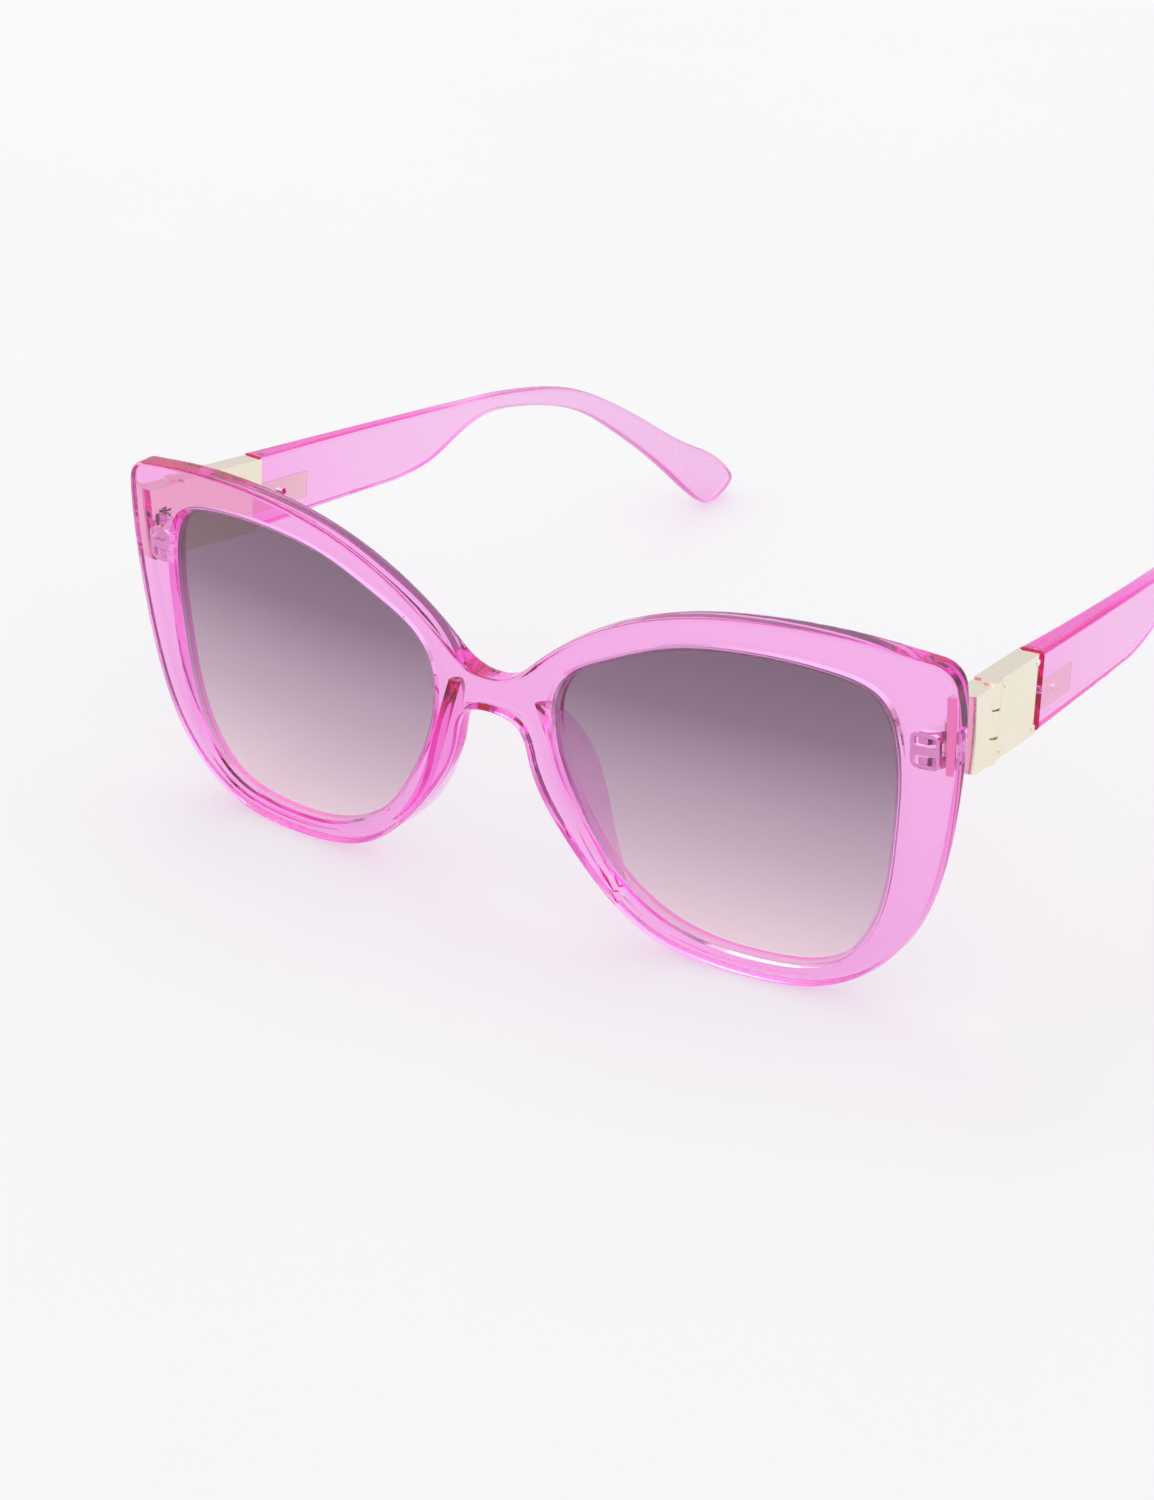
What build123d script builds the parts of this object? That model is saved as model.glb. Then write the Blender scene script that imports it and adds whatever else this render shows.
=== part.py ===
"""Cat eye sunglasses, in millimetres.

+X is the wearer's left, +Y runs from the front to the arm tips and +Z is up. The pair stands open on
its rims and arm tips, with the origin on the floor in the middle of its outline. Every paired piece is
made on the wearer's left side and mirrored to the right.
"""
import os
from math import cos, radians, sin, sqrt

from build123d import *

os.makedirs("parts", exist_ok=True)

# Overall places
FRONT_Y = -73.57
FACE_Z = 26.85
HALF_WIDTH = 70.0

# Front frame
WRAP_RADIUS = 398.0
FRONT_THICKNESS = 4.0
BEVEL = 1.0
EDGE_ROUNDING = 0.45
BACK_ROUNDING = 1.2
LIP_ROUNDING = 0.35
CUT_DEPTH = 25.0
CUT_HALF_HEIGHT = 40.0

# Nose pads
NOSE_PAD_THICKNESS = 2.1

# Lens opening: its middle on the face plane, and points round its edge from that middle
OPENING_CENTRE = (36.0, -1.2)
OPENING_HALF_WIDTH = 25.4
OPENING_HALF_HEIGHT = 22.6
OPENING_POINTS = (
    (-25.4, 7.0),
    (-22.5, 13.4),
    (-16.0, 17.2),
    (-6.9, 20.8),
    (5.0, 22.5),
    (15.8, 22.1),
    (22.8, 19.7),
    (25.4, 12.6),
    (25.2, 1.3),
    (22.9, -11.9),
    (17.1, -20.0),
    (6.0, -22.6),
    (-5.6, -21.4),
    (-15.2, -15.9),
    (-22.0, -6.3),
)

# Lenses
LENS_SETBACK = 1.15
LENS_THICKNESS = 1.6
GROOVE_DEPTH = 0.8
SEAT_CLEARANCE = 0.02

# Hinge
HINGE_X = 66.9
HINGE_Y = FRONT_Y + 12.0
HINGE_MIDDLE_Z = FACE_Z + 12.3
ANCHOR_X = 65.0
ANCHOR_WIDTH = 4.2
ANCHOR_HEIGHT = 5.0
ANCHOR_CORNER = 1.0
ANCHOR_DEPTH = 2.3
ANCHOR_THICKNESS = 0.9
ANCHOR_WINDOW = (3.2, 1.3)
KNUCKLE_RADIUS = 1.3
KNUCKLE_HEIGHT = 1.75
KNUCKLE_GAP = 0.06
KNUCKLE_RELIEF = 0.3
SCREW_RADIUS = 0.7
SCREW_CLEARANCE = 0.05
SCREW_HEAD_RADIUS = 1.15
SCREW_HEAD_HEIGHT = 0.8
SCREW_SLOT = (0.35, 0.4)

# Arms: u runs along the arm from the front end of the plastic, w up its height
TOE_IN = radians(4.5)
DROP = radians(7.25)
ARM_X = 69.3
ARM_Y = FRONT_Y + 31.2
ARM_TOP_Z = FACE_Z + 17.75
ARM_HEIGHT = 11.3
ARM_FRONT_THICKNESS = 3.8
ARM_MIDDLE_THICKNESS = 2.9
ARM_TIP_THICKNESS = 2.4
ARM_ROUNDING = 0.7
ARM_CUT_HALF_HEIGHT = 60.0
ARM_MIDDLE_CURVE = 0.6
ARM_TIP_CURVE = 3.3

# Gold end piece, in the arm's u and w
BLOCK_TOP = -0.25
BLOCK_BOTTOM = -11.6
BLOCK_STEP = 0.25
BLOCK_REACH = -24.0
BLOCK_END_GAP = 0.15
BLOCK_THICKNESS = 3.4
PLATE_THICKNESS = 1.0
PLATE_INSET = 0.4
TRIM_AT = -14.2
TRIM_RADIUS = 1.4
TRIM_CORE_RADIUS = 1.1
TRIM_DEPTH = -1.35
TRIM_GAP = 0.35
TRIM_SEGMENTS = 3
RIVET_RADIUS = 0.5
RIVET_DOME = 0.15
RIVET_ROUNDING = 0.13
RIVET_MARGIN = 1.1
TONGUE_LENGTH = 11.0
TONGUE_TOP = -4.6
TONGUE_BOTTOM = -8.8
TONGUE_THICKNESS = 1.0
PIN_AT = (5.2, -6.6)
PIN_RADIUS = 0.55
PIN_SKIN = 0.7


def wrap_depth(x, radius=WRAP_RADIUS):
    """Distance that a wrapped face falls back at x from the middle."""
    return radius - sqrt(radius**2 - x**2)


# Planes: the face of the front, the plan view of the front, and the side view of the left arm
face_plane = Plane(origin=(0, FRONT_Y, FACE_Z), x_dir=(1, 0, 0), z_dir=(0, -1, 0))
plan_plane = Plane(origin=(0, FRONT_Y, FACE_Z), x_dir=(1, 0, 0), z_dir=(0, 0, 1))
arm_direction = Vector(-sin(TOE_IN) * cos(DROP), cos(TOE_IN) * cos(DROP), -sin(DROP))
arm_outward = Vector(cos(TOE_IN), sin(TOE_IN), 0)
arm_plane = Plane(origin=(ARM_X, ARM_Y, ARM_TOP_Z), x_dir=arm_direction, z_dir=arm_outward)
trim_plane = Plane(
    origin=arm_plane.from_local_coords((TRIM_AT, 0, TRIM_DEPTH)), x_dir=arm_direction, z_dir=arm_plane.y_dir
)
hinge_plane = Plane(origin=(HINGE_X, HINGE_Y, HINGE_MIDDLE_Z), x_dir=(1, 0, 0), z_dir=(0, 0, 1))


def wrap_slab(near, far):
    """Plan section of the wrapped front between two depths behind its face."""
    corner = HALF_WIDTH + 3
    front = wrap_depth(corner) + near
    back = wrap_depth(corner) + far
    with BuildSketch() as slab:
        with BuildLine():
            front_arc = ThreePointArc((-corner, front), (0, near), (corner, front))
            back_arc = ThreePointArc((-corner, back), (0, far), (corner, back))
            Line(front_arc @ 0, back_arc @ 0)
            Line(front_arc @ 1, back_arc @ 1)
        make_face()
    return slab.sketch


def opening_outline(grow):
    """The clear opening of the left rim, stretched about its middle until it is `grow` larger all round."""
    stretch_x = 1 + grow / OPENING_HALF_WIDTH
    stretch_y = 1 + grow / OPENING_HALF_HEIGHT
    with BuildSketch() as opening:
        with Locations(OPENING_CENTRE):
            with BuildLine() as edge:
                Spline(*[(x * stretch_x, y * stretch_y) for x, y in OPENING_POINTS], periodic=True)
            add(make_face(edge.line, mode=Mode.PRIVATE))
    return opening.sketch


def wrapped_plate(grow, near, far):
    """A plate with the outline of the left lens opening, between two depths behind the face."""
    with BuildPart() as plate:
        with BuildSketch(face_plane):
            add(opening_outline(grow))
        extrude(amount=-CUT_DEPTH)
        with BuildSketch(plan_plane):
            add(wrap_slab(near, far))
        extrude(amount=CUT_HALF_HEIGHT, both=True, mode=Mode.INTERSECT)
    return plate.part


def nose_pad():
    """The left nose pad: a fin lofted from sections down the nose side of the rim."""
    sections = (
        (6.0, (7.2, 2.2), (7.4, 4.4)),
        (2.0, (8.4, 2.2), (9.4, 7.0)),
        (-3.5, (10.2, 2.2), (11.6, 8.4)),
        (-9.5, (12.6, 2.2), (13.2, 8.5)),
        (-15.0, (15.9, 2.2), (15.3, 7.3)),
        (-20.0, (20.6, 2.2), (19.6, 4.2)),
    )
    with BuildPart() as pad:
        for height, root, tip in sections:
            with BuildSketch(plan_plane.offset(height)):
                middle = (Vector(*root) + Vector(*tip)) / 2
                SlotCenterPoint(middle, tip, NOSE_PAD_THICKNESS)
        loft()
    return pad.part


def knuckle_bottom(level):
    """Height of the underside of a knuckle, counted in places above the middle one."""
    return level * (KNUCKLE_HEIGHT + KNUCKLE_GAP) - KNUCKLE_HEIGHT / 2


def anchor_and_necks(grow):
    """The plate buried in the plastic and its two necks to the hinge axis, grown by `grow`."""
    with BuildPart() as leaf:
        with BuildSketch(face_plane.offset(grow - wrap_depth(ANCHOR_X) - ANCHOR_DEPTH)):
            with Locations((ANCHOR_X, HINGE_MIDDLE_Z - FACE_Z)):
                RectangleRounded(ANCHOR_WIDTH + 2 * grow, ANCHOR_HEIGHT + 2 * grow, ANCHOR_CORNER)
                with GridLocations(0, 2 * ANCHOR_WINDOW[1], 1, 2):
                    Rectangle(ANCHOR_WINDOW[0] - 2 * grow, ANCHOR_WINDOW[1] - 2 * grow, mode=Mode.SUBTRACT)
        extrude(amount=-ANCHOR_THICKNESS - 2 * grow)
        for level in (-1, 1):
            with BuildSketch(hinge_plane.offset(knuckle_bottom(level) - grow)):
                with BuildLine():
                    Polyline((-2.9, -4.0), (-1.6, -4.0), (0.4, -1.2), (-0.9, 0.9), close=True)
                make_face()
                if grow:
                    offset(amount=grow, kind=Kind.INTERSECTION)
            extrude(amount=KNUCKLE_HEIGHT + 2 * grow)
    return leaf.part


def hinge_disc(radius, bottom, height):
    """A round disc on the hinge axis."""
    with BuildPart() as disc:
        with BuildSketch(hinge_plane.offset(bottom)):
            Circle(radius)
        extrude(amount=height)
    return disc.part


def screw_bore():
    """The hole for the hinge screw, longer than the hinge at both ends."""
    half_length = 2 * KNUCKLE_HEIGHT + SCREW_HEAD_HEIGHT
    return hinge_disc(SCREW_RADIUS + SCREW_CLEARANCE, -half_length, 2 * half_length)


def arm_box(left, right, bottom, top, near, far):
    """A box in the arm's own directions, between two depths inward of the arm's outer face."""
    with BuildPart() as box:
        with BuildSketch(arm_plane.offset(-near)):
            with Locations(((left + right) / 2, (bottom + top) / 2)):
                Rectangle(right - left, top - bottom)
        extrude(amount=near - far)
    return box.part


def arm_rod(place, radius, near, far):
    """A round rod through the arm's thickness, between two depths."""
    with BuildPart() as rod:
        with BuildSketch(arm_plane.offset(-near)):
            with Locations(place):
                Circle(radius)
        extrude(amount=near - far)
    return rod.part


def trim_rod(radius, bottom, top):
    """A round rod down the outer face of the gold end piece."""
    with BuildPart() as rod:
        with BuildSketch(trim_plane.offset(bottom)):
            Circle(radius)
        extrude(amount=top - bottom)
    return rod.part


def front_space():
    """The room taken by the front, with the gap that the gold end piece keeps from its back."""
    with BuildPart() as space:
        with BuildSketch(plan_plane):
            add(wrap_slab(-10, FRONT_THICKNESS + BLOCK_END_GAP))
        extrude(amount=CUT_HALF_HEIGHT, both=True)
    return space.part


def on_front_face(edge):
    """True for an edge that lies on the wrapped front face."""
    middle = edge.position_at(0.5)
    return abs(middle.Y - FRONT_Y - wrap_depth(middle.X)) < 0.01


def is_opening_edge(edge):
    """True for the long closed edge round a lens opening."""
    return edge.bounding_box().size.Z > 40 and edge.bounding_box().size.X < HALF_WIDTH


def is_arm_rim(edge):
    """True for an edge that runs along the arm, clear of its front end."""
    along = (edge.center() - arm_plane.origin).dot(arm_direction)
    across = abs(edge.tangent_at(0.5).dot(arm_outward))
    return along > 1 and across < 0.5


def is_rivet_top(edge):
    """True for an edge on the outer end of a rivet."""
    return (edge.center() - arm_plane.origin).dot(arm_outward) > -PLATE_INSET


def export_pair(part, name):
    """Write the wearer's left piece and its mirror image on the right."""
    for side, piece in (("left", part), ("right", mirror(part, about=Plane.YZ))):
        piece.label = f"{side}_{name}"
        export_step(piece, f"parts/{side}_{name}.step")


# --- Front frame: both rims, the bridge, the lens grooves and the nose pads in one moulding ---
with BuildPart() as front_frame:
    with BuildSketch(face_plane):
        with BuildLine():
            brow = Spline(
                (0, 9.1),
                (7.8, 13.1),
                (18.4, 20.4),
                (31.0, 25.0),
                (43.0, 26.7),
                (54.4, 26.8),
                (66.7, 25.4),
                tangents=((1, 0), (1, -0.14)),
            )
            corner = TangentArc(brow @ 1, (HALF_WIDTH, 21.9), tangent=brow % 1)
            Spline(
                corner @ 1,
                (69.5, 6.5),
                (67.4, -6.0),
                (61.9, -18.3),
                (52.1, -25.3),
                (39.0, -26.8),
                (24.6, -24.1),
                (13.1, -14.0),
                (6.4, -2.2),
                (0, 3.8),
                tangents=(corner % 1, (-1, 0)),
            )
            mirror(about=Plane.YZ)
        make_face()
    extrude(amount=-CUT_DEPTH)
    with BuildSketch(plan_plane):
        add(wrap_slab(0, FRONT_THICKNESS))
    extrude(amount=CUT_HALF_HEIGHT, both=True, mode=Mode.INTERSECT)
    fillet(front_frame.edges().filter_by(on_front_face), EDGE_ROUNDING)
    fillet(front_frame.faces().sort_by(Axis.Y)[-1].edges(), BACK_ROUNDING)
    with BuildSketch(face_plane):
        add(opening_outline(0))
        mirror(about=Plane.YZ)
    extrude(amount=-CUT_DEPTH, mode=Mode.SUBTRACT)
    opening_edges = front_frame.edges().filter_by(is_opening_edge)
    chamfer(opening_edges.filter_by(on_front_face), BEVEL)
    opening_edges = front_frame.edges().filter_by(is_opening_edge)
    fillet(opening_edges.group_by(Axis.Y)[-1], LIP_ROUNDING)
    pad = nose_pad()
    add([pad, mirror(pad, about=Plane.YZ, mode=Mode.PRIVATE)])
    lens_seat = wrapped_plate(GROOVE_DEPTH, LENS_SETBACK, LENS_SETBACK + LENS_THICKNESS)
    hinge_seat = anchor_and_necks(SEAT_CLEARANCE)
    for cut in (lens_seat, hinge_seat):
        add([cut, mirror(cut, about=Plane.YZ, mode=Mode.PRIVATE)], mode=Mode.SUBTRACT)
front_frame.part.label = "front_frame"
export_step(front_frame.part, "parts/front_frame.step")

# --- Lenses ---
with BuildPart() as lens:
    add(
        wrapped_plate(
            GROOVE_DEPTH - SEAT_CLEARANCE,
            LENS_SETBACK + SEAT_CLEARANCE,
            LENS_SETBACK + LENS_THICKNESS - SEAT_CLEARANCE,
        )
    )
export_pair(lens.part, "lens")

# --- Front hinge leaf: the anchor buried in the plastic, with the upper and lower knuckles ---
with BuildPart() as front_hinge:
    add(anchor_and_necks(0))
    for level in (-1, 1):
        add(hinge_disc(KNUCKLE_RADIUS, knuckle_bottom(level), KNUCKLE_HEIGHT))
    add(screw_bore(), mode=Mode.SUBTRACT)
export_pair(front_hinge.part, "front_hinge")

# --- Hinge screw: a plain shaft through the three knuckles and a slotted head ---
hinge_top = knuckle_bottom(1) + KNUCKLE_HEIGHT
with BuildPart() as hinge_screw:
    add(hinge_disc(SCREW_RADIUS, -hinge_top, 2 * hinge_top))
    add(hinge_disc(SCREW_HEAD_RADIUS, hinge_top + SEAT_CLEARANCE, SCREW_HEAD_HEIGHT))
    add(hinge_disc(SCREW_RADIUS, hinge_top, SEAT_CLEARANCE))
    slot_width, slot_depth = SCREW_SLOT
    with BuildSketch(hinge_plane.offset(hinge_top + SCREW_HEAD_HEIGHT + SEAT_CLEARANCE)):
        Rectangle(2 * SCREW_HEAD_RADIUS, slot_width)
    extrude(amount=-slot_depth, mode=Mode.SUBTRACT)
export_pair(hinge_screw.part, "hinge_screw")

# --- Gold end block: the body behind the trim, the middle knuckle and the tongue ---
core_near = PLATE_INSET + PLATE_THICKNESS
core_far = PLATE_INSET + BLOCK_THICKNESS
with BuildPart() as end_block:
    add(arm_box(BLOCK_REACH, TRIM_AT, BLOCK_BOTTOM, BLOCK_TOP - BLOCK_STEP, core_near, core_far))
    add(arm_box(TRIM_AT, 0, BLOCK_BOTTOM, BLOCK_TOP, core_near, core_far))
    add(arm_box(0, TONGUE_LENGTH, TONGUE_BOTTOM, TONGUE_TOP, core_near, core_near + TONGUE_THICKNESS))
    add(front_space(), mode=Mode.SUBTRACT)
    add(hinge_disc(KNUCKLE_RADIUS, knuckle_bottom(0), KNUCKLE_HEIGHT))
    for level in (-1, 1):
        relief_bottom = knuckle_bottom(level) - KNUCKLE_GAP
        relief_height = KNUCKLE_HEIGHT + 2 * KNUCKLE_GAP
        if level > 0:
            relief_height += SCREW_HEAD_HEIGHT + 2 * KNUCKLE_GAP
        add(hinge_disc(KNUCKLE_RADIUS + KNUCKLE_RELIEF, relief_bottom, relief_height), mode=Mode.SUBTRACT)
    add(screw_bore(), mode=Mode.SUBTRACT)
    add(trim_rod(TRIM_RADIUS + SEAT_CLEARANCE, -ARM_HEIGHT - 1, 1), mode=Mode.SUBTRACT)
    add(arm_rod(PIN_AT, PIN_RADIUS + SEAT_CLEARANCE, 0, ARM_FRONT_THICKNESS), mode=Mode.SUBTRACT)
export_pair(end_block.part, "end_block")

# --- Trim plates: a short leaf by the front and a long leaf by the pink arm ---
with BuildPart() as front_plate:
    plate_end = TRIM_AT - TRIM_RADIUS - SEAT_CLEARANCE
    add(arm_box(BLOCK_REACH, plate_end, BLOCK_BOTTOM, BLOCK_TOP - BLOCK_STEP, PLATE_INSET, core_near))
    add(front_space(), mode=Mode.SUBTRACT)
export_pair(front_plate.part, "front_plate")

plate_start = TRIM_AT + TRIM_RADIUS + SEAT_CLEARANCE
rivet_places = [
    (u, w)
    for u in (plate_start + RIVET_MARGIN, -RIVET_MARGIN)
    for w in (BLOCK_BOTTOM + RIVET_MARGIN, BLOCK_TOP - RIVET_MARGIN)
]
with BuildPart() as rear_plate:
    add(arm_box(plate_start, 0, BLOCK_BOTTOM, BLOCK_TOP, PLATE_INSET, core_near))
    for place in rivet_places:
        add(arm_rod(place, RIVET_RADIUS + SEAT_CLEARANCE, 0, core_near), mode=Mode.SUBTRACT)
export_pair(rear_plate.part, "rear_plate")

with BuildPart() as plate_rivets:
    for place in rivet_places:
        add(arm_rod(place, RIVET_RADIUS, PLATE_INSET - RIVET_DOME, core_near))
    fillet(plate_rivets.edges().filter_by(is_rivet_top), RIVET_ROUNDING)
export_pair(plate_rivets.part, "plate_rivets")

# --- Trim barrel: three short segments on one core, let into the joint between the plates ---
trim_segment = (BLOCK_TOP - BLOCK_BOTTOM - 2 * TRIM_GAP) / TRIM_SEGMENTS
with BuildPart() as trim_barrel:
    add(trim_rod(TRIM_CORE_RADIUS, BLOCK_BOTTOM, BLOCK_TOP))
    for step in range(TRIM_SEGMENTS):
        bottom = BLOCK_BOTTOM + step * (trim_segment + TRIM_GAP)
        add(trim_rod(TRIM_RADIUS, bottom, bottom + trim_segment))
export_pair(trim_barrel.part, "trim_barrel")

# --- Arm: a straight front, an S-shaped step up to a thin neck, the ear bend and a flared tip ---
with BuildPart() as arm:
    with BuildSketch(arm_plane):
        with BuildLine():
            top = Line((0, 0), (54, -0.1))
            edge = Spline(
                top @ 1,
                (63.5, -0.6),
                (71.0, -1.5),
                (77.5, -3.0),
                (85.0, -6.0),
                (96.0, -11.6),
                (108.0, -18.0),
                (119.2, -24.1),
                (120.9, -26.6),
                (118.2, -29.2),
                (114.8, -30.3),
                (111.5, -28.9),
                (104.6, -23.7),
                (93.5, -15.7),
                (87.5, -11.9),
                (82.0, -8.7),
                (76.5, -6.3),
                (69.5, -4.4),
                (61.0, -3.2),
                (55.5, -3.1),
                (50.8, -4.1),
                (45.5, -6.5),
                (40.5, -8.8),
                (35.0, -10.0),
                (24.0, -10.6),
                tangents=(top % 1, (-24.0, 10.6 - ARM_HEIGHT)),
            )
            Line(edge @ 1, (0, -ARM_HEIGHT))
            Line((0, -ARM_HEIGHT), (0, 0))
        make_face()
    extrude(amount=-ARM_TIP_THICKNESS - ARM_TIP_CURVE)
    with BuildSketch(Plane(origin=arm_plane.origin, x_dir=arm_direction, z_dir=arm_plane.y_dir)):
        with BuildLine():
            inside = Spline(
                (0, ARM_FRONT_THICKNESS),
                (25, ARM_MIDDLE_THICKNESS),
                (60, ARM_TIP_THICKNESS + ARM_MIDDLE_CURVE),
                (125, ARM_TIP_THICKNESS + ARM_TIP_CURVE),
                tangents=((1, -0.06), (1, 0.05)),
            )
            outside = Spline(
                (0, 0),
                (60, ARM_MIDDLE_CURVE),
                (125, ARM_TIP_CURVE),
                tangents=((1, 0), (1, 0.05)),
            )
            Line(inside @ 0, outside @ 0)
            Line(inside @ 1, outside @ 1)
        make_face()
    extrude(amount=ARM_CUT_HALF_HEIGHT, both=True, mode=Mode.INTERSECT)
    fillet(arm.edges().filter_by(is_arm_rim), ARM_ROUNDING)
    seat = SEAT_CLEARANCE
    seat_bottom = TONGUE_BOTTOM - seat
    seat_top = TONGUE_TOP + seat
    seat_far = core_near + TONGUE_THICKNESS + seat
    tongue_seat = arm_box(-1, TONGUE_LENGTH + seat, seat_bottom, seat_top, core_near - seat, seat_far)
    add(tongue_seat, mode=Mode.SUBTRACT)
    add(arm_rod(PIN_AT, PIN_RADIUS + seat, PIN_SKIN, ARM_FRONT_THICKNESS + 1), mode=Mode.SUBTRACT)
export_pair(arm.part, "arm")

# --- Arm pin: holds the tongue in the plastic ---
with BuildPart() as arm_pin:
    add(arm_rod(PIN_AT, PIN_RADIUS, PIN_SKIN + SEAT_CLEARANCE, ARM_MIDDLE_THICKNESS))
export_pair(arm_pin.part, "arm_pin")
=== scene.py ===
"""Cat eye sunglasses: finishes, floor, soft light and camera, in metres on the CAD's axes."""

import bpy
from mathutils import Matrix, Vector

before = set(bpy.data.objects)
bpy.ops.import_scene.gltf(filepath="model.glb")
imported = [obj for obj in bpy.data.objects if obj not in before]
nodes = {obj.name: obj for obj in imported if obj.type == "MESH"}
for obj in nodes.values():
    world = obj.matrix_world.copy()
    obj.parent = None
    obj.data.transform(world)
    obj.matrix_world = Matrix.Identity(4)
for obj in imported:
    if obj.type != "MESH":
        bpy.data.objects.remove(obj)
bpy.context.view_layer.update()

# Pink plastic: two near-white shades of its surface, and the tint that its depth gives
PINK_LIGHT = (1.0, 0.94, 1.0)
PINK_DEEP = (1.0, 0.91, 0.99)
PINK_TO_LAMPS = (0.96, 1.0, 0.975)
PINK_DEPTH = (0.97, 0.0, 0.79)
PINK_DENSITY = 160.0
PLASTIC_IOR = 1.49

# Lenses: heights at which the tint starts and ends, its shades between, and what lamps see of it
TINT_BOTTOM = 0.004
TINT_TOP = 0.048
TINT_CLOUD = 0.0008
TINT_SHADES = (
    (0.0, (0.93, 0.76, 0.81)),
    (0.2, (0.73, 0.575, 0.66)),
    (0.4, (0.56, 0.415, 0.51)),
    (0.5, (0.49, 0.36, 0.46)),
    (0.78, (0.265, 0.165, 0.245)),
    (1.0, (0.21, 0.125, 0.19)),
)
TINT_TO_LAMPS = (0.95, 0.93, 0.95)
LENS_IOR = 1.45

# Arms: where the gloss starts to turn satin along the arm, where it is fully satin, and how rough
SATIN_START = -0.03
SATIN_END = 0.05
SATIN_ROUGHNESS = 0.22

# Metal: how near a piece's own walls must stand for painted shade to darken its slits
PAINTED_SHADE_REACH = 0.0012

# Hairline scratches: how their direction is turned, and how far they are drawn out
SCRATCH_TURN = (0.4, 0.2, 0.7)
SCRATCH_STRETCH = (1.0, 26.0, 1.0)

# Floor and room
FLOOR_HALF = 4.0
FLOOR_SHADES = ((0.73, 0.735, 0.73), (0.745, 0.75, 0.745))
HORIZON_COLOUR = (0.60, 0.59, 0.61)
OVERHEAD_COLOUR = (0.99, 0.985, 1.0)
ROOM_STRENGTH = 1.22

# Camera: directions behind and to the right of it, the point that it looks at and its distance
CAMERA_BACK = (0.5298, -0.7188, 0.4501)
CAMERA_RIGHT = (0.8141, 0.5798, -0.0324)
CAMERA_TARGET = (0.01045, -0.07141, 0.0268)
CAMERA_DISTANCE = 0.4566
CAMERA_LENS = 103.43
CAMERA_SHIFT = 0.0149
SENSOR_WIDTH = 36.0


# ------------------------------------------------------------------ node helpers
def feed(tree, socket, value):
    """Link a node's input to another node's output, or give it a plain value."""
    if isinstance(value, bpy.types.NodeSocket):
        tree.links.new(value, socket)
    else:
        socket.default_value = value


def add_node(tree, kind, settings=None, **inputs):
    """A node of that kind, with its settings and its named inputs given or linked."""
    made = tree.nodes.new(kind)
    for key, value in (settings or {}).items():
        setattr(made, key, value)
    for key, value in inputs.items():
        feed(tree, made.inputs[key.replace("_", " ")], value)
    return made


def math(tree, operation, *values):
    """The result socket of a Math node."""
    made = tree.nodes.new("ShaderNodeMath")
    made.operation = operation
    for socket, value in zip(made.inputs, values):
        feed(tree, socket, value)
    return made.outputs[0]


def spread(tree, value, low, high, to_low, to_high, smooth=False):
    """value carried from the range low..high to to_low..to_high, held at both ends."""
    made = tree.nodes.new("ShaderNodeMapRange")
    if smooth:
        made.interpolation_type = "SMOOTHSTEP"
    tree.links.new(value, made.inputs["Value"])
    for name, number in zip(("From Min", "From Max", "To Min", "To Max"), (low, high, to_low, to_high)):
        made.inputs[name].default_value = number
    return made.outputs["Result"]


def blend_colours(tree, share, first, second):
    """A Mix node's colour between two colours."""
    made = tree.nodes.new("ShaderNodeMix")
    made.data_type = "RGBA"
    feed(tree, made.inputs[0], share)
    for socket, colour in ((made.inputs[6], first), (made.inputs[7], second)):
        if isinstance(colour, bpy.types.NodeSocket):
            tree.links.new(colour, socket)
        else:
            socket.default_value = (*colour, 1.0)
    return made.outputs[2]


def colour_steps(tree, value, stops):
    """A straight Color Ramp through (place, colour) stops."""
    made = tree.nodes.new("ShaderNodeValToRGB")
    ramp = made.color_ramp
    ramp.interpolation = "LINEAR"
    while len(ramp.elements) < len(stops):
        ramp.elements.new(0.5)
    for element, (place, colour) in zip(ramp.elements, stops):
        element.position = place
        element.color = (*colour, 1.0)
    tree.links.new(value, made.inputs["Fac"])
    return made.outputs["Color"]


def new_group(name, inputs, outputs):
    """An empty shader node group with these sockets, and its input and output nodes."""
    tree = bpy.data.node_groups.new(name, "ShaderNodeTree")
    for label, kind, value in inputs:
        socket = tree.interface.new_socket(label, in_out="INPUT", socket_type=kind)
        if value is not None:
            socket.default_value = value
    for label, kind in outputs:
        tree.interface.new_socket(label, in_out="OUTPUT", socket_type=kind)
    return tree, tree.nodes.new("NodeGroupInput"), tree.nodes.new("NodeGroupOutput")


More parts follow.
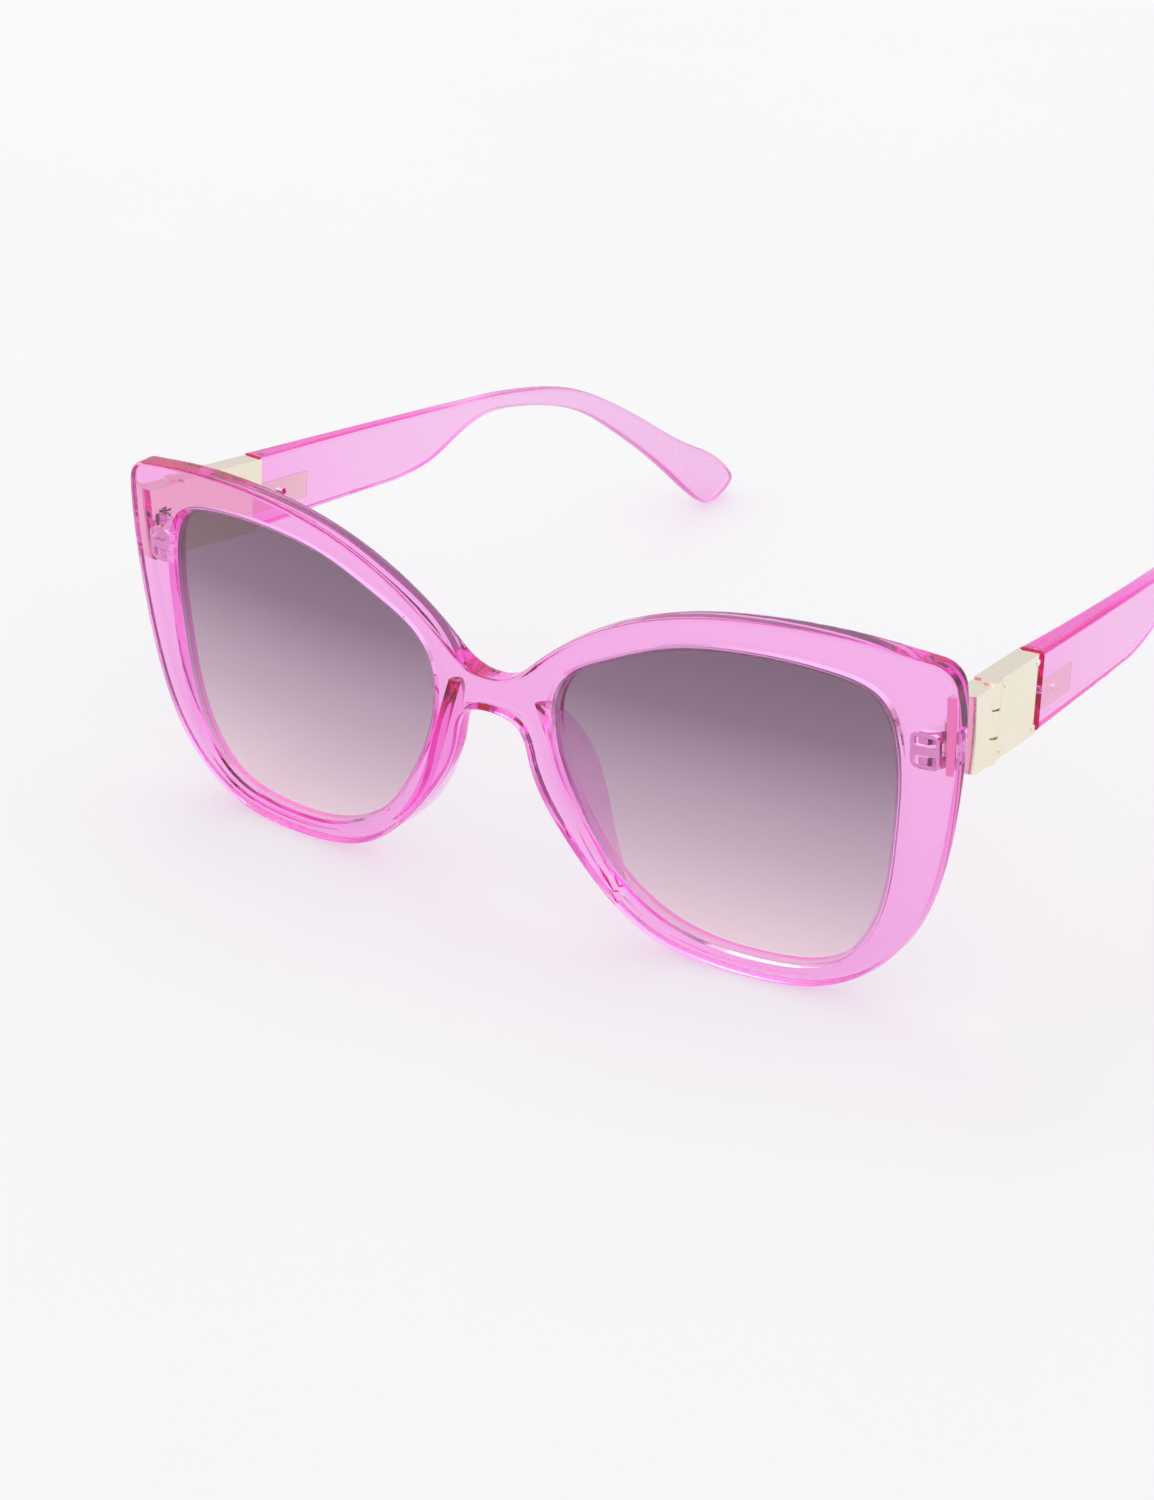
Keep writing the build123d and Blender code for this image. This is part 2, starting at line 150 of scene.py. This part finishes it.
# ------------------------------------------------------------------ shared effects
def handling_group():
    """Soft smears and fine hairline scratches of a handled glossy surface, as a roughness and a height."""
    tree, inside, outside = new_group(
        "handling",
        [
            ("Vector", "NodeSocketVector", None),
            ("Roughness", "NodeSocketFloat", 0.05),
            ("Smears", "NodeSocketFloat", 0.05),
            ("Scratches", "NodeSocketFloat", 0.2),
        ],
        [("Roughness", "NodeSocketFloat"), ("Height", "NodeSocketFloat")],
    )
    place = inside.outputs["Vector"]
    smears = add_node(tree, "ShaderNodeTexNoise", Vector=place, Scale=90.0, Detail=4.0, Roughness=0.6)
    smear = spread(tree, smears.outputs["Fac"], 0.45, 0.75, 0.0, 1.0, smooth=True)
    turned = add_node(
        tree, "ShaderNodeMapping", Vector=place, Rotation=SCRATCH_TURN, Scale=SCRATCH_STRETCH
    )
    lines = add_node(tree, "ShaderNodeTexNoise", Vector=turned.outputs[0], Scale=160.0, Detail=2.0)
    scratch = spread(tree, lines.outputs["Fac"], 0.68, 0.72, 0.0, 1.0)
    scratch = math(tree, "MULTIPLY", scratch, inside.outputs["Scratches"])
    extra = math(tree, "MULTIPLY", smear, inside.outputs["Smears"])
    rough = math(tree, "ADD", inside.outputs["Roughness"], extra)
    rough = math(tree, "ADD", rough, math(tree, "MULTIPLY", scratch, 0.15))
    tree.links.new(rough, outside.inputs["Roughness"])
    tree.links.new(math(tree, "MULTIPLY", scratch, -1.0), outside.inputs["Height"])
    return tree


handling = handling_group()


def use_group(tree, group, **inputs):
    """A placed node group with its inputs set."""
    return add_node(tree, "ShaderNodeGroup", {"node_tree": group}, **inputs)


def start_material(name):
    """An empty node material with its output and Object coordinates."""
    material = bpy.data.materials.new(name)
    material.use_nodes = True
    tree = material.node_tree
    tree.nodes.clear()
    output = tree.nodes.new("ShaderNodeOutputMaterial")
    coords = tree.nodes.new("ShaderNodeTexCoord")
    return material, tree, output, coords.outputs["Object"]


def pass_lamps(tree, output, shader, colour):
    """Lamp light and bounced light go straight through the piece, tinted, so what is behind is lit."""
    clear = add_node(tree, "ShaderNodeBsdfTransparent", Color=(*colour, 1.0))
    path = tree.nodes.new("ShaderNodeLightPath")
    mix = tree.nodes.new("ShaderNodeMixShader")
    unseen = math(tree, "MAXIMUM", path.outputs["Is Shadow Ray"], path.outputs["Is Diffuse Ray"])
    tree.links.new(unseen, mix.inputs[0])
    tree.links.new(shader, mix.inputs[1])
    tree.links.new(clear.outputs[0], mix.inputs[2])
    tree.links.new(mix.outputs[0], output.inputs["Surface"])


def absorb(tree, output, colour, density):
    """Tint that deepens with the length of plastic that light crosses."""
    volume = add_node(tree, "ShaderNodeVolumeAbsorption", Color=(*colour, 1.0), Density=density)
    tree.links.new(volume.outputs[0], output.inputs["Volume"])


# ------------------------------------------------------------------ finishes
def pink_front_finish():
    """Clear pink injection-moulded plastic, polished, with faint flow ripples."""
    material, tree, output, place = start_material("pink_front")
    ripples = add_node(tree, "ShaderNodeTexNoise", Vector=place, Scale=55.0, Detail=1.5, Roughness=0.4)
    worn = use_group(tree, handling, Vector=place, Roughness=0.025, Smears=0.03, Scratches=0.1)
    shade = add_node(tree, "ShaderNodeTexNoise", Vector=place, Scale=30.0, Detail=2.0)
    tint = blend_colours(tree, shade.outputs["Fac"], PINK_LIGHT, PINK_DEEP)
    height = math(tree, "ADD", math(tree, "MULTIPLY", ripples.outputs["Fac"], 4.0), worn.outputs["Height"])
    bump = add_node(tree, "ShaderNodeBump", Strength=0.06, Distance=0.0002, Height=height)
    shader = add_node(
        tree,
        "ShaderNodeBsdfPrincipled",
        Base_Color=tint,
        Roughness=worn.outputs["Roughness"],
        IOR=PLASTIC_IOR,
        Transmission_Weight=1.0,
        Normal=bump.outputs[0],
    )
    pass_lamps(tree, output, shader.outputs[0], PINK_TO_LAMPS)
    absorb(tree, output, PINK_DEPTH, PINK_DENSITY)
    return material


def pink_arm_finish():
    """The same pink plastic, glossy by the gold and satin towards the ear."""
    material, tree, output, place = start_material("pink_arm")
    worn = use_group(tree, handling, Vector=place, Roughness=0.05, Smears=0.04, Scratches=0.1)
    along = add_node(tree, "ShaderNodeSeparateXYZ", Vector=place).outputs["Y"]
    satin = spread(tree, along, SATIN_START, SATIN_END, 0.0, SATIN_ROUGHNESS, smooth=True)
    rough = math(tree, "ADD", worn.outputs["Roughness"], satin)
    shade = add_node(tree, "ShaderNodeTexNoise", Vector=place, Scale=30.0, Detail=2.0)
    tint = blend_colours(tree, shade.outputs["Fac"], PINK_LIGHT, PINK_DEEP)
    bump = add_node(tree, "ShaderNodeBump", Strength=0.05, Distance=0.0002, Height=worn.outputs["Height"])
    shader = add_node(
        tree,
        "ShaderNodeBsdfPrincipled",
        Base_Color=tint,
        Roughness=rough,
        IOR=PLASTIC_IOR,
        Transmission_Weight=1.0,
        Normal=bump.outputs[0],
    )
    pass_lamps(tree, output, shader.outputs[0], PINK_TO_LAMPS)
    absorb(tree, output, PINK_DEPTH, PINK_DENSITY)
    return material


def lens_finish():
    """Tinted lens: smoky purple at the brow, fading to pale pink at the cheek."""
    material, tree, output, place = start_material("gradient_lens")
    height = add_node(tree, "ShaderNodeSeparateXYZ", Vector=place).outputs["Z"]
    cloud = add_node(tree, "ShaderNodeTexNoise", Vector=place, Scale=40.0, Detail=2.0)
    height = math(tree, "ADD", height, math(tree, "MULTIPLY", cloud.outputs["Fac"], TINT_CLOUD))
    share = spread(tree, height, TINT_BOTTOM, TINT_TOP, 0.0, 1.0)
    tint = colour_steps(tree, share, TINT_SHADES)
    worn = use_group(tree, handling, Vector=place, Roughness=0.01, Smears=0.02, Scratches=0.05)
    shader = add_node(
        tree,
        "ShaderNodeBsdfPrincipled",
        Base_Color=tint,
        Roughness=worn.outputs["Roughness"],
        IOR=LENS_IOR,
        Transmission_Weight=1.0,
    )
    pass_lamps(tree, output, shader.outputs[0], TINT_TO_LAMPS)
    return material


def metal_finish(name, colour, dark, painted_shade_colour, roughness, brush):
    """Polished plated metal with faint polishing lines, and painted shade that darkens its colour down in
    its slits.
    """
    material, tree, output, place = start_material(name)
    stretched = add_node(tree, "ShaderNodeMapping", Vector=place, Scale=(1.0, 1.0, 40.0))
    lines = add_node(tree, "ShaderNodeTexNoise", Vector=stretched.outputs[0], Scale=220.0, Detail=3.0)
    worn = use_group(tree, handling, Vector=place, Roughness=roughness, Smears=0.06, Scratches=0.3)
    brushed = math(tree, "MULTIPLY", lines.outputs["Fac"], brush)
    rough = math(tree, "ADD", worn.outputs["Roughness"], brushed)
    patches = add_node(tree, "ShaderNodeTexNoise", Vector=place, Scale=120.0, Detail=3.0)
    tint = blend_colours(tree, spread(tree, patches.outputs["Fac"], 0.35, 0.75, 0.0, 0.35), colour, dark)
    # Painted shade: ambient occlusion turns the colour towards the dark slit colour where the piece's own
    # walls stand close
    shade_occlusion = add_node(tree, "ShaderNodeAmbientOcclusion", {"only_local": True}, Distance=PAINTED_SHADE_REACH)
    painted_shade_share = spread(tree, shade_occlusion.outputs["AO"], 0.25, 0.8, 1.0, 0.0, smooth=True)
    tint = blend_colours(tree, painted_shade_share, tint, painted_shade_colour)
    bump = add_node(tree, "ShaderNodeBump", Strength=0.05, Distance=0.0001, Height=worn.outputs["Height"])
    shader = add_node(
        tree,
        "ShaderNodeBsdfPrincipled",
        Base_Color=tint,
        Roughness=rough,
        Metallic=1.0,
        Normal=bump.outputs[0],
    )
    tree.links.new(shader.outputs[0], output.inputs["Surface"])
    return material


pink_front = pink_front_finish()
pink_arm = pink_arm_finish()
gradient_lens = lens_finish()
# The third colour of each metal is the painted shade in its slits
pale_gold = metal_finish(
    "pale_gold", (0.92, 0.85, 0.69), (0.86, 0.77, 0.58), (0.45, 0.30, 0.12), roughness=0.05, brush=0.04
)
hinge_steel = metal_finish(
    "hinge_steel", (0.78, 0.74, 0.74), (0.55, 0.52, 0.53), (0.25, 0.22, 0.24), roughness=0.18, brush=0.08
)

finishes = {
    "front_frame": pink_front,
    "lens": gradient_lens,
    "front_hinge": hinge_steel,
    "hinge_screw": hinge_steel,
    "arm_pin": hinge_steel,
    "end_block": pale_gold,
    "front_plate": pale_gold,
    "rear_plate": pale_gold,
    "plate_rivets": pale_gold,
    "trim_barrel": pale_gold,
    "arm": pink_arm,
}


def dress(node, material):
    """Give every material slot of a CAD node this finish."""
    for slot in node.material_slots:
        slot.material = material


for name, node in nodes.items():
    dress(node, finishes[name.removeprefix("left_").removeprefix("right_")])


# ------------------------------------------------------------------ floor, light and camera
def floor_finish():
    """Plain pale paper with a very faint mottle."""
    material, tree, output, place = start_material("pale_floor")
    mottle = add_node(tree, "ShaderNodeTexNoise", Vector=place, Scale=8.0, Detail=3.0)
    tint = blend_colours(tree, mottle.outputs["Fac"], *FLOOR_SHADES)
    shader = add_node(tree, "ShaderNodeBsdfPrincipled", Base_Color=tint, Roughness=0.9)
    tree.links.new(shader.outputs[0], output.inputs["Surface"])
    return material


def make_floor():
    """A flat square sheet under the rims."""
    half = FLOOR_HALF
    mesh = bpy.data.meshes.new("floor")
    corners = [(-half, -half, 0), (half, -half, 0), (half, half, 0), (-half, half, 0)]
    mesh.from_pydata(corners, [], [(0, 1, 2, 3)])
    floor = bpy.data.objects.new("floor", mesh)
    bpy.context.collection.objects.link(floor)
    mesh.materials.append(floor_finish())


def make_light(name, place, size, power):
    """A square soft box at place, turned towards the origin."""
    data = bpy.data.lights.new(name, "AREA")
    data.shape = "RECTANGLE"
    data.size = size
    data.size_y = size
    data.energy = power
    lamp = bpy.data.objects.new(name, data)
    lamp.location = place
    lamp.rotation_euler = (-Vector(place)).to_track_quat("-Z", "Y").to_euler()
    bpy.context.collection.objects.link(lamp)


def make_world():
    """Pale room light, bright overhead and darker towards the horizon."""
    world = bpy.data.worlds.new("studio")
    world.use_nodes = True
    tree = world.node_tree
    background = tree.nodes["Background"]
    direction = tree.nodes.new("ShaderNodeTexCoord").outputs["Generated"]
    height = add_node(tree, "ShaderNodeSeparateXYZ", Vector=direction).outputs["Z"]
    glow = spread(tree, height, 0.1, 0.55, 0.0, 1.0, smooth=True)
    colour = blend_colours(tree, glow, HORIZON_COLOUR, OVERHEAD_COLOUR)
    tree.links.new(colour, background.inputs["Color"])
    background.inputs["Strength"].default_value = ROOM_STRENGTH
    bpy.context.scene.world = world


def make_camera():
    """A long lens, looking down on the wearer's left front corner."""
    data = bpy.data.cameras.new("camera")
    data.sensor_fit = "HORIZONTAL"
    data.sensor_width = SENSOR_WIDTH
    data.lens = CAMERA_LENS
    data.shift_x = CAMERA_SHIFT
    data.clip_start = 0.01
    back = Vector(CAMERA_BACK).normalized()
    right = Vector(CAMERA_RIGHT)
    right = (right - right.dot(back) * back).normalized()
    up = back.cross(right)
    place = Vector(CAMERA_TARGET) + CAMERA_DISTANCE * back
    camera = bpy.data.objects.new("camera", data)
    camera.matrix_world = Matrix(
        [(right[i], up[i], back[i], place[i]) for i in range(3)] + [(0, 0, 0, 1)]
    )
    bpy.context.collection.objects.link(camera)
    bpy.context.scene.camera = camera


make_floor()
make_world()
make_light("key", (-0.9, 0.7, 1.8), size=1.0, power=4.5)
make_light("fill", (1.2, -1.0, 1.2), size=1.0, power=2.0)
make_camera()
bpy.context.scene.view_settings.view_transform = "Standard"
bpy.context.scene.cycles.max_bounces = 32
bpy.context.scene.cycles.transmission_bounces = 32
bpy.context.scene.cycles.glossy_bounces = 16
bpy.context.scene.cycles.transparent_max_bounces = 24

bpy.context.view_layer.update()
